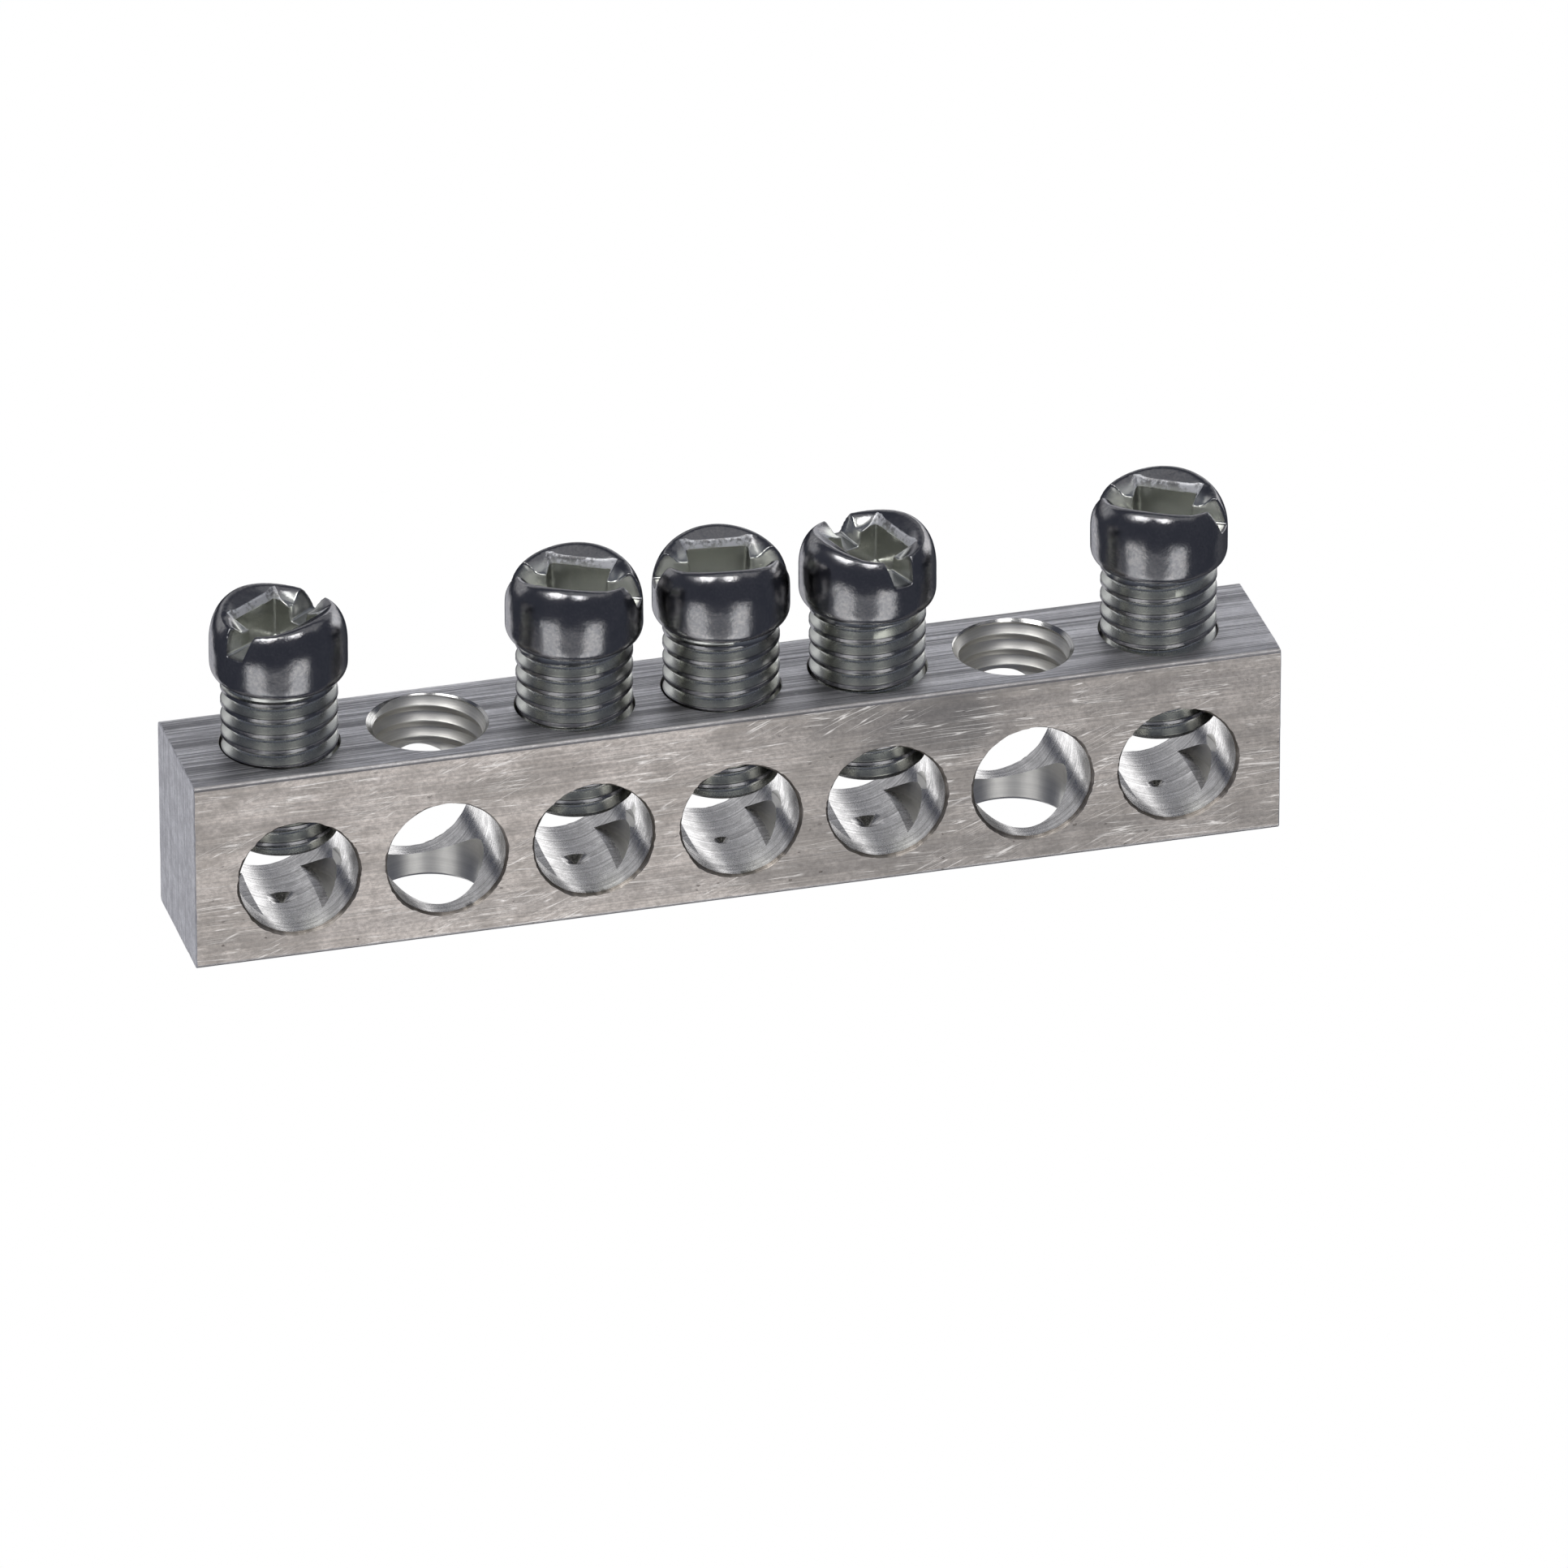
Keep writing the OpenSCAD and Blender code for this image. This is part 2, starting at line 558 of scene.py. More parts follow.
@effect(Place=None, Way=0.0, Wobble=0.2, Fineness=3.0)
def tool_rings(g: Graph, into: Values) -> Values:
    """Reads noise along the wobbling way of a drill or saw, for the rings that it leaves.

    Args:
        g: the group's graph.
        into: the group's inputs by name.

    Returns:
        The group's outputs by name.
    """
    way = into["Way"] + g.noise(into["Place"], 0.5) * into["Wobble"]
    coarse = g.value("TexNoise", noise_dimensions="1D", W=way * into["Fineness"], Scale=1.0, Detail=3.0,
                     Roughness=0.7)
    fine = g.value("TexNoise", noise_dimensions="1D", W=way * (into["Fineness"] * 5.0), Scale=1.0, Detail=2.0)
    both = coarse * 0.6 + fine * 0.4
    return {"Height": both, "Mask": both.remap(0.38, 0.62)}


class Finish:
    """A material with its metal shader, and the place on the object in millimetres."""

    def __init__(self, name: str) -> None:
        """Makes the material.

        Args:
            name: the material's name.
        """
        self.material = bpy.data.materials.new(name)
        self.material.use_nodes = True
        self.graph = Graph(self.material.node_tree)
        self.shader = self.material.node_tree.nodes["Principled BSDF"]
        self.shader.inputs["Metallic"].default_value = 1.0
        here = self.graph.value("TexCoord", out="Object")
        self.place = self.graph.value("VectorMath", here, operation="SCALE", Scale=1 / MM)
        split = self.graph.add("SeparateXYZ", self.place)
        self.x, self.y, self.z = (Value(self.graph, out) for out in split.outputs)

    def set(self, **values: object) -> None:
        """Gives the metal shader its numbers or values by name."""
        for key, value in values.items():
            self.graph.feed(self.shader.inputs[key.replace("_", " ")], value)

    def relief(self, *layers: tuple[Value, float]) -> None:
        """Adds bumps.

        Args:
            layers: each bump's height and its depth in millimetres.
        """
        normal = None
        for height, depth in layers:
            normal = self.graph.value("Bump", Height=height, Distance=depth * MM, Strength=1.0, Normal=normal)
        self.graph.feed(self.shader.inputs["Normal"], normal)


@dataclass(frozen=True)
class DrawnSkin:
    """Finish of the bar's long faces.

    Attributes:
        name: the material's name.
        bright: colour of the clean metal.
        dull: colour of its duller patches.
        rough: roughness of the clean metal.
        line_depth: depth of the drawn lines, in millimetres.
        wear: how many scratches show, from 0 to 1.
        dark_lines: how strongly the lines darken the colour, from 0 to 1.
        stained: how strongly the painted dark reflection and the darkening towards the right end show, from 0
            to 1.
        tarnish: colour of the painted dark reflection and the darkening.
        groove: colour in the lines.
        grime: colour in the pits.
        bared: colour of the scratches.
    """

    name: str
    bright: Colour
    dull: Colour
    rough: float
    line_depth: float
    wear: float
    dark_lines: float
    stained: float = 0.0
    tarnish: Colour = (0.22, 0.21, 0.2, 1)
    groove: Colour = (0.13, 0.13, 0.14, 1)
    grime: Colour = (0.13, 0.11, 0.09, 1)
    bared: Colour = (0.97, 0.94, 0.9, 1)

    def stain(self, made: Finish) -> Value:
        """Gives a painted dark reflection on the front, of dark things standing before it, round the fifth
        and sixth positions, and a darkening towards the right end.

        Args:
            made: the material.

        Returns:
            How strong the painted dark reflection and the darkening are.
        """
        g = made.graph
        ragged = g.noise(made.place, 0.35, 4.0)
        across, down = (made.x - 10.5) / 11.0, (made.z - 9.5) / 6.5
        far = g.math("SQRT", across * across + down * down)
        patch = (far + (ragged - 0.5)).remap(0.1, 1.0, 1.0, 0.0)
        right = (made.x + ragged * 8.0).remap(-3.0, 12.0, 0.0, 0.46)
        return g.math("MAXIMUM", patch, right)

    def material(self) -> Material:
        """Builds the material.

        Returns:
            The finished material.
        """
        made = Finish(self.name)
        g, place = made.graph, made.place
        lines = drawn_lines(g, Place=place)
        cloud = mottle(g, Place=place.stretch(0.25, 0.5), Fineness=0.6)
        speckle = mottle(g, Place=place.stretch(0.7, 1.0), Fineness=5.5)
        marks = scratches(g, Place=place, Amount=self.wear)["Mask"]
        pitted = pits(g, Place=place.stretch(0.6, 1.0), Fineness=3.0, Gap=0.8)["Mask"]
        low = made.z.remap(0.3, 4.5, 1.0, 0.35)
        colour = g.blend(cloud["Mask"] * 0.62, self.bright, self.dull)
        colour = g.blend(speckle["Mask"] * 0.4, colour, self.dull)
        # Painted reflection: a dark patch round the fifth and sixth positions, and a darkening towards the
        # right end.
        colour = g.blend(self.stain(made) * self.stained, colour, self.tarnish)
        colour = g.blend((1.0 - lines["Mask"]) * self.dark_lines, colour, self.groove)
        colour = g.blend(pitted * 0.6 * low, colour, self.grime)
        colour = g.blend(marks * 0.6, colour, self.bared)
        made.set(Base_Color=colour,
                 Roughness=(speckle["Height"] - 0.5) * 0.3 + self.rough - marks * 0.12)
        made.relief((lines["Height"], self.line_depth), (speckle["Height"], 0.003), (pitted * -1.0, 0.006))
        return made.material


@dataclass(frozen=True)
class SawnEnd:
    """Finish of the bar's two ends, with upright marks from the saw.

    Attributes:
        name: the material's name.
        metal: colour of the cut metal.
        mark: colour of the saw's darker marks.
        speck: colour of the fine specks.
        cloud: colour of the soft patches.
        mark_depth: depth of the marks, in millimetres.
    """

    name: str = "sawn_aluminium"
    metal: Colour = (0.97, 0.965, 0.99, 1)
    mark: Colour = (0.34, 0.34, 0.37, 1)
    speck: Colour = (0.45, 0.44, 0.46, 1)
    cloud: Colour = (0.6, 0.58, 0.6, 1)
    mark_depth: float = 0.03

    def material(self) -> Material:
        """Builds the material.

        Returns:
            The finished material.
        """
        made = Finish(self.name)
        g, place = made.graph, made.place
        saw = tool_rings(g, Place=place, Way=made.y, Wobble=0.5, Fineness=2.6)
        cloud = mottle(g, Place=place, Fineness=1.1)
        speckle = mottle(g, Place=place.stretch(1.0, 0.35), Fineness=6.0)
        colour = g.blend(saw["Mask"] * 0.5, self.metal, self.mark)
        colour = g.blend(speckle["Mask"] * 0.45, colour, self.speck)
        colour = g.blend(cloud["Mask"] * 0.2, colour, self.cloud)
        made.set(Base_Color=colour, Roughness=cloud["Height"].remap(0.3, 0.7, 0.6, 0.72))
        made.relief((saw["Height"], self.mark_depth), (speckle["Height"], 0.01))
        return made.material


@dataclass(frozen=True)
class CutWall:
    """Finish of the walls, bevels and rims of drilled and tapped holes.

    Attributes:
        name: the material's name.
        metal: colour of the cut metal.
        shade: colour of its darker rings.
        rough: roughness.
        ring_depth: depth of the tool's rings, in millimetres.
        across: True for holes that run front to back, False for upright ones.
        marked: how strongly the rings show in the colour, from 0 to 1.
        uneven: how far the roughness goes up and down.
        hole_pitch: distance between the upright holes' axes, in millimetres.
    """

    name: str
    metal: Colour
    shade: Colour
    rough: float
    ring_depth: float
    across: bool
    marked: float
    uneven: float = 0.08
    hole_pitch: float = 7.9375

    def from_axis(self, made: Finish) -> Value:
        """Gives the distance from the axis of the nearest upright hole, in millimetres."""
        beside = made.graph.math("WRAP", made.x, self.hole_pitch / 2, -self.hole_pitch / 2)
        return made.graph.math("SQRT", beside * beside + made.y * made.y)

    def material(self) -> Material:
        """Builds the material.

        Returns:
            The finished material.
        """
        made = Finish(self.name)
        g = made.graph
        way = made.y if self.across else made.z + self.from_axis(made)
        rings = tool_rings(g, Place=made.place, Way=way, Wobble=0.25, Fineness=3.4)
        cloud = mottle(g, Place=made.place, Fineness=1.6)
        colour = g.blend(rings["Mask"] * self.marked, self.metal, self.shade)
        colour = g.blend(cloud["Mask"] * (self.marked / 3), colour, self.shade)
        rough = cloud["Height"].remap(0.3, 0.7, self.rough - self.uneven, self.rough + self.uneven)
        made.set(Base_Color=colour, Roughness=rough)
        made.relief((rings["Height"], self.ring_depth), (cloud["Height"], 0.001))
        return made.material


@dataclass(frozen=True)
class ZincPlate:
    """Finish of the clamping screws, lighter and greener inside the recess and between the threads, where the
    lighter colour is painted fill light.

    Attributes:
        name: the material's name.
        bright: colour of the plating.
        deep: colour in the recess and between the threads, lighter than the plating: painted fill light
            there.
        rough: roughness of the plating.
        grain: depth of the fine unevenness, in millimetres.
        thin: colour where the plating is thin.
        torn: colour of the metal ripped up at the socket's mouth, whitened: partly bare metal, partly a
            painted highlight.
        speck: colour of the specks.
    """

    name: str
    bright: Colour
    deep: Colour
    rough: float
    grain: float
    thin: Colour = (0.24, 0.245, 0.26, 1)
    torn: Colour = (0.96, 0.96, 0.97, 1)
    speck: Colour = (0.2, 0.2, 0.2, 1)

    def material(self) -> Material:
        """Builds the material.

        Returns:
            The finished material.
        """
        made = Finish(self.name)
        g, place = made.graph, made.place
        sheltered_fill, coined = (g.value("Attribute", out="Fac", attribute_name=layer) for layer in SCREW_LAYERS)
        patches = mottle(g, Place=place, Fineness=0.9)
        fine = mottle(g, Place=place, Fineness=6.5)
        specks = pits(g, Place=place, Fineness=3.2, Gap=0.7)["Mask"]
        colour = g.blend(patches["Mask"] * 0.5, self.bright, self.thin)
        colour = g.blend(fine["Mask"] * 0.55, colour, self.thin)
        # Painted fill light: the recess and the threads take the lighter deep colour.
        colour = g.blend(sheltered_fill, colour, self.deep)
        # Partly a painted highlight: the ripped metal at the socket's mouth is whitened.
        colour = g.blend(coined * patches["Height"].remap(0.4, 0.55), colour, self.torn)
        colour = g.blend(specks * (0.4 - sheltered_fill * 0.4), colour, self.speck)
        varied = (fine["Height"] - 0.5) * (0.45 - sheltered_fill * 0.38)
        made.set(Base_Color=colour, Roughness=varied + self.rough + sheltered_fill * 0.12 + coined * 0.45,
                 Specular_Tint=(0.4, 0.4, 0.42, 1))
        bare = 1.0 - sheltered_fill * 0.93
        made.relief((patches["Height"] * bare, 0.014), (fine["Height"] * bare, self.grain))
        return made.material


@dataclass
class Bar:
    """The drawn bar with its drilled, tapped and countersunk holes, in millimetres.

    Attributes:
        box: the box of its node.
        axes: place along X of each position's upright hole.
        edge_r: radius of the long edges.
        roll_w, roll_h: width and height of the top face's fall to its long edges.
        break_w: mean width of the ragged edge round the sawn ends.
        wire_r, wire_floor: radius of the wire holes, and height of their lowest line.
        rag_w, rag_depth: mean width and depth of the ragged mouth of a wire hole.
        drill_r, tap_r, pitch: radii at the crests and roots of the tapped thread, and its rise in a turn.
        tight: how much a thread's crests stand in where a screw holds.
        sink_mounting, sink_terminal: radii of the countersinks at the top face.
        mouth: width of the mounting holes' lower edges.
        tap_z, tap_lead: height at which a terminal's drill starts to narrow to the thread, and by which it
            has done so.
        open_tap_z: height at which a mounting hole's thread begins.
        point_r, point_angle: radius of the drill's centre point and half its angle, in degrees.
        rim_drop: fall of the drill's floor from its centre point to its rim.
        ring_h: height of the marks on that floor.
        wall_z: a height inside the wall above the wire holes.
        over: how far a cutter reaches past what it cuts.
        corner_steps, round_steps, thread_steps, wire_steps: facets of a long edge, an upright hole, a
            thread and a wire hole.
        POINT_DEPTHS: depth of the drill's point below the wire hole's floor, by position.
    """

    box: Box
    axes: dict[int, float]
    edge_r: float = 0.24
    roll_w: float = 0.8
    roll_h: float = 0.06
    break_w: float = 0.045
    wire_r: float = 3.2
    wire_floor: float = 1.4
    rag_w: float = 0.13
    rag_depth: float = 0.2
    drill_r: float = 2.87
    tap_r: float = 3.175
    pitch: float = 0.907
    tight: float = 0.06
    sink_mounting: float = 3.22
    sink_terminal: float = 3.19
    mouth: float = 0.2
    tap_z: float = 3.15
    tap_lead: float = 0.25
    open_tap_z: float = 5.0
    point_r: float = 1.4
    point_angle: float = 59.0
    rim_drop: float = 0.07
    ring_h: float = 0.012
    wall_z: float = 8.0
    over: float = 1.0
    corner_steps: int = 8
    round_steps: int = 128
    thread_steps: int = 96
    wire_steps: int = 176

    POINT_DEPTHS = {1: 0.36, 3: 0.34, 4: 0.21, 5: 0.38, 7: 0.23}

    @property
    def wire_z(self) -> float:
        """Height of the wire holes' axes."""
        return self.wire_floor + self.wire_r

    def use_of(self, position: int) -> Hole:
        """Says what a position is made for."""
        return Hole.TERMINAL if position in self.POINT_DEPTHS else Hole.MOUNTING

    def section(self, inset: Callable[[float], float]) -> list[tuple[float, float]]:
        """Gives the bar's section as points of y and z.

        Args:
            inset: how far a point lies inside the section, by the way round to it.

        Returns:
            The points, anticlockwise when seen from the bar's right end.
        """
        half_w, high, r = self.box.size.y / 2, self.box.size.z, self.edge_r
        spacing = 0.35
        points: list[tuple[float, float, float]] = []
        corners = ((half_w - r, r, -90.0), (half_w - r, high - r, 0.0),
                   (-half_w + r, high - r, 90.0), (-half_w + r, r, 180.0))
        for number, (y, z, start) in enumerate(corners):
            for step in range(self.corner_steps + 1):
                angle = math.radians(start + 90 * step / self.corner_steps)
                points.append((y + r * math.cos(angle), z + r * math.sin(angle), angle))
            following = corners[(number + 1) % 4]
            angle = math.radians(start + 90)
            first = (points[-1][0], points[-1][1])
            last = (following[0] + r * math.cos(angle), following[1] + r * math.sin(angle))
            length = math.dist(first, last)
            count = int(length / spacing)
            for step in range(1, count):
                share = step / count
                points.append((first[0] + (last[0] - first[0]) * share,
                               first[1] + (last[1] - first[1]) * share, angle))
        rolled = []
        for n, (y, z, a) in enumerate(points):
            near = max(0.0, (abs(y) - half_w + self.roll_w) / self.roll_w) if z > high - 0.2 else 0.0
            fall = inset(n) * math.sin(a)
            rolled.append((y - inset(n) * math.cos(a), z - fall - self.roll_h * near * near))
        return rolled

    def blank(self) -> Object:
        """Makes the sawn length of bar with a small ragged break on the edges of its ends.

        Returns:
            The blank, with no hole in it.
        """
        half = self.box.size.x / 2
        sections = []
        for side in (-1, 1):
            def ragged(n: float, side: int = side) -> float:
                """Gives the width of the broken edge.

                Args:
                    n: the point's number round the section.
                    side: -1 at the left end, 1 at the right end.

                Returns:
                    The width.
                """
                coarse = grain_at(Vector((n * 0.31, side * 3.0, 0)), 5.0)
                fine = grain_at(Vector((n * 0.9, side * 3.0, 0)), 9.0)
                return self.break_w + 0.035 * coarse + 0.03 * fine

            outer = [(side * half, y, z) for y, z in self.section(ragged)]
            inner = [(side * (half - max(0.03, ragged(n))), y, z)
                     for n, (y, z) in enumerate(self.section(lambda n: 0.0))]
            sections += [outer, inner] if side < 0 else [inner, outer]
        return loft(sections).as_object("earth_terminal_bar")

    def wire_cutter(self, position: int) -> Shape:
        """Makes the cutter of a wire hole, with a ragged mouth at both ends.

        Args:
            position: the position's number, counted from the left.

        Returns:
            The cutter in its place.
        """
        half, deep, over = self.box.size.y / 2, self.rag_depth, self.over
        rings = 22
        inner = [(self.wire_r, -half + deep + (2 * half - 2 * deep) * n / rings) for n in range(rings + 1)]
        outline = [(self.wire_r + over, -half - over), (self.wire_r, -half), *inner, (self.wire_r, half),
                   (self.wire_r + over, half + over)]

        def change(angle: float, radius: float, height: float) -> tuple[float, float]:
            """Widens the mouths unevenly and leaves faint rings on the wall.

            Args:
                angle: angle round the hole's axis.
                radius: plain radius.
                height: place along the axis.

            Returns:
                The new radius and place along the axis.
            """
            way = Vector((self.wire_r * math.cos(angle), self.wire_r * math.sin(angle), height))
            seed = 7.0 * position + (3.0 if height > 0 else 0.0)
            rag = self.rag_w + 0.07 * grain_at(way * 0.9, seed) + 0.05 * grain_at(way * 4.4, seed + 1)
            if abs(height) >= half:
                return radius + max(rag, 0.04), height
            if abs(height) >= half - deep - 0.001:
                return radius, math.copysign(half - deep + 0.06 * grain_at(way * 2.0, seed + 2), height)
            return radius + 0.006 * grain_at(Vector((0, 0, height * 5.0)), seed + 5), height

        axis = Matrix.Translation((self.axes[position], 0, self.wire_z))
        turned = axis @ Matrix.Rotation(math.pi / 2, 4, "X")
        return lathe(outline, self.wire_steps, change).placed(turned)

    def thread_turn(self, crest: float, root: float) -> list[tuple[float, float]]:
        """Gives one turn of an internal thread as shares of the pitch and radii.

        Args:
            crest: radius at the crest, which is the smaller one.
            root: radius at the root.

        Returns:
            The rows of one turn.
        """
        depth = root - crest
        return [(0.0, crest + 0.08 * depth), (0.025, crest), (0.06, crest), (0.095, crest),
                (0.12, crest + 0.08 * depth), (0.15, crest + 0.18 * depth), (0.5, crest + 0.93 * depth),
                (0.55, root), (0.6, crest + 0.93 * depth), (0.97, crest + 0.18 * depth)]

    def countersink(self, radius: float, inner: float) -> Shape:
        """Makes the cone cutter of a hole's top edge.

        Args:
            radius: radius at the bar's top face.
            inner: radius at which the cone ends.

        Returns:
            The cutter on the Z axis.
        """
        top = self.box.size.z
        reach = radius - inner
        return lathe([(inner - 0.3, top - reach - 0.3), (radius, top), (radius + self.over, top + self.over)],
                     self.round_steps)

    def drill_outline(self, position: int, crest: float) -> list[tuple[float, float]]:
        """Gives the half outline of a terminal's drill: centre point, nearly level floor and side.

        Args:
            position: the position's number, counted from the left.
            crest: radius of the crests of the thread above.

        Returns:
            Radius and height of each ring, from the bottom up.
        """
        tip = self.wire_floor - self.POINT_DEPTHS[position]
        shoulder = tip + self.point_r / math.tan(math.radians(self.point_angle))
        rings = 14
        edges = []
        for step in range(1, rings + 1):
            radius = self.point_r + (self.drill_r - self.point_r) * step / rings
            mark = self.ring_h * grain_at(Vector((radius * 4.0, 0, 0)), 3.0 * position)
            edges.append((radius, shoulder - self.rim_drop * step / rings + mark))
        return [(0.03, tip + 0.012), (0.09, tip + 0.03), (0.16, tip + 0.08), (self.point_r, shoulder), *edges,
                (self.drill_r, self.tap_z), (crest, self.tap_z + self.tap_lead),
                (crest, self.tap_z + 1.2 * self.pitch)]

    def upright_cutters(self, position: int) -> list[Shape]:
        """Makes the cutters of a position's vertical hole.

        Args:
            position: the position's number, counted from the left.

        Returns:
            The cutters in their places.
        """
        top = self.box.size.z
        phase = 1.9 * position
        if self.use_of(position) is Hole.MOUNTING:
            crest, root, sink, low = self.drill_r, self.tap_r, self.sink_mounting, self.open_tap_z
            outline = [(crest + self.mouth + 0.5, -0.5), (crest, self.mouth), (crest, top + self.over)]
        else:
            crest, root, sink = self.tap_r - self.tight, self.tap_r + self.tight / 2, self.sink_terminal
            low = self.tap_z + self.pitch / 2
            outline = self.drill_outline(position, crest)
        thread = self.thread_turn(crest, root)
        cutters = (lathe(outline, self.round_steps),
                   helical_rod(thread, self.pitch, low, top + 2 * self.over, self.thread_steps, phase),
                   self.countersink(sink, crest))
        return [cutter.placed(Matrix.Translation((self.axes[position], 0, 0))) for cutter in cutters]

    def build(self) -> Object:
        """Cuts all holes and scales the bar to metres.

        Returns:
            The finished bar.
        """
        bar = self.blank()
        for position in sorted(self.axes):
            combine(bar, self.wire_cutter(position), Operation.CUT)
            for cutter in self.upright_cutters(position):
                combine(bar, cutter, Operation.CUT)
        to_metres(bar)
        bar.data.shade_smooth()
        bar.data.set_sharp_from_angle(angle=math.radians(24))
        weigh = bar.modifiers.new("normals", "WEIGHTED_NORMAL")
        weigh.keep_sharp = True
        settle(bar)
        return bar

    def sort_faces(self, bar: Object) -> None:
        """Gives each face the material slot of its kind of surface. A later rule overrides an earlier one.

        Args:
            bar: the finished bar.
        """
        faces = bar.data.polygons
        half_x, half_y, high = self.box.size.x / 2, self.box.size.y / 2, self.box.size.z
        x, y, z = read_rows(faces, "center").T / MM
        facing, rising = read_rows(faces, "normal").T[1:]
        from_wire = np.min([np.hypot(x - axis, z - self.wire_z) for axis in self.axes.values()], axis=0)
        from_upright = np.min([np.hypot(x - axis, y) for axis in self.axes.values()], axis=0)
        x, y, facing = np.abs(x), np.abs(y), np.abs(facing)
        beside, hair = 0.3, 0.001
        round_wire = (from_wire < self.wire_r + beside) & (z < self.wall_z)
        thread_r = (self.drill_r + self.tap_r) / 2
        tapped = (np.abs(from_upright - thread_r) < beside) & (np.abs(rising) < 0.8)
        cones = np.min([np.abs(from_upright - sink - z + high)
                        for sink in (self.sink_mounting, self.sink_terminal)], axis=0)
        skin = (y > half_y - self.edge_r) & (from_wire > self.wire_r)
        on_face = np.abs(y - half_y) < hair
        rim = round_wire & (from_wire > self.wire_r + 0.004) & (y > half_y - 0.25)
        rules = (
            (Surface.DRILLED, round_wire & (from_wire > self.wire_r - 0.03)),
            (Surface.TAPPED, tapped & (np.abs(from_wire - self.wire_r) > 0.012)),
            (Surface.BEVEL, (cones < 0.015) & (np.abs(rising - 0.707) < 0.05)),
            (Surface.FACE, skin & on_face),
            (Surface.EDGE, skin & ((z < self.edge_r) | (z > high - self.edge_r))),
            (Surface.TOP, ((z > high - 0.1) & (rising > 0.97)) | (z < hair)),
            (Surface.END, x > half_x - beside),
            (Surface.RIM, rim & (facing > 0.15) & (facing < 0.97)),
            (Surface.FACE, on_face & (x <= half_x - hair) & (facing > 0.99)),
        )
        kind = np.full(len(x), Surface.TAPPED.value, np.int32)
        for surface, chosen in rules:
            kind[chosen] = surface.value
        faces.foreach_set("material_index", kind)

    def dress(self, bar: Object) -> None:
        """Gives the bar its materials, in the order of Surface.

        Args:
            bar: the finished bar.
        """
        finishes = {
            # The front gets a painted dark reflection round the fifth and sixth positions and a darkening
            # towards the right end.
            Surface.FACE: DrawnSkin("drawn_aluminium_face", (0.88, 0.8, 0.73, 1), (0.42, 0.38, 0.34, 1),
                                    rough=0.4, line_depth=0.006, wear=0.9, dark_lines=0.26, stained=0.85),
            Surface.TOP: DrawnSkin("drawn_aluminium_top", (0.95, 0.94, 0.96, 1), (0.66, 0.65, 0.67, 1),
                                   rough=0.5, line_depth=0.016, wear=0.35, dark_lines=0.75),
            Surface.EDGE: DrawnSkin("burnished_edge", (0.93, 0.9, 0.87, 1), (0.55, 0.52, 0.5, 1),
                                    rough=0.5, line_depth=0.006, wear=0.5, dark_lines=0.3),
            Surface.END: SawnEnd(),
            Surface.DRILLED: CutWall("drilled_wall", (0.76, 0.745, 0.735, 1), (0.18, 0.175, 0.17, 1),
                                     rough=0.26, ring_depth=0.008, across=True, marked=0.6),
            Surface.TAPPED: CutWall("tapped_wall", (0.78, 0.765, 0.725, 1), (0.54, 0.53, 0.5, 1),
                                    rough=0.42, ring_depth=0.001, across=False, marked=0.3, uneven=0.02),
            Surface.BEVEL: CutWall("cut_bevel", (0.66, 0.65, 0.63, 1), (0.3, 0.3, 0.29, 1),
                                   rough=0.17, ring_depth=0.006, across=False, marked=0.7, uneven=0.04),
            Surface.RIM: CutWall("burred_rim", (0.62, 0.57, 0.52, 1), (0.24, 0.21, 0.18, 1),
                                 rough=0.45, ring_depth=0.01, across=True, marked=0.9),
        }
        bar.data.materials.clear()
        for surface in Surface:
            bar.data.materials.append(finishes[surface].material())
        self.sort_faces(bar)


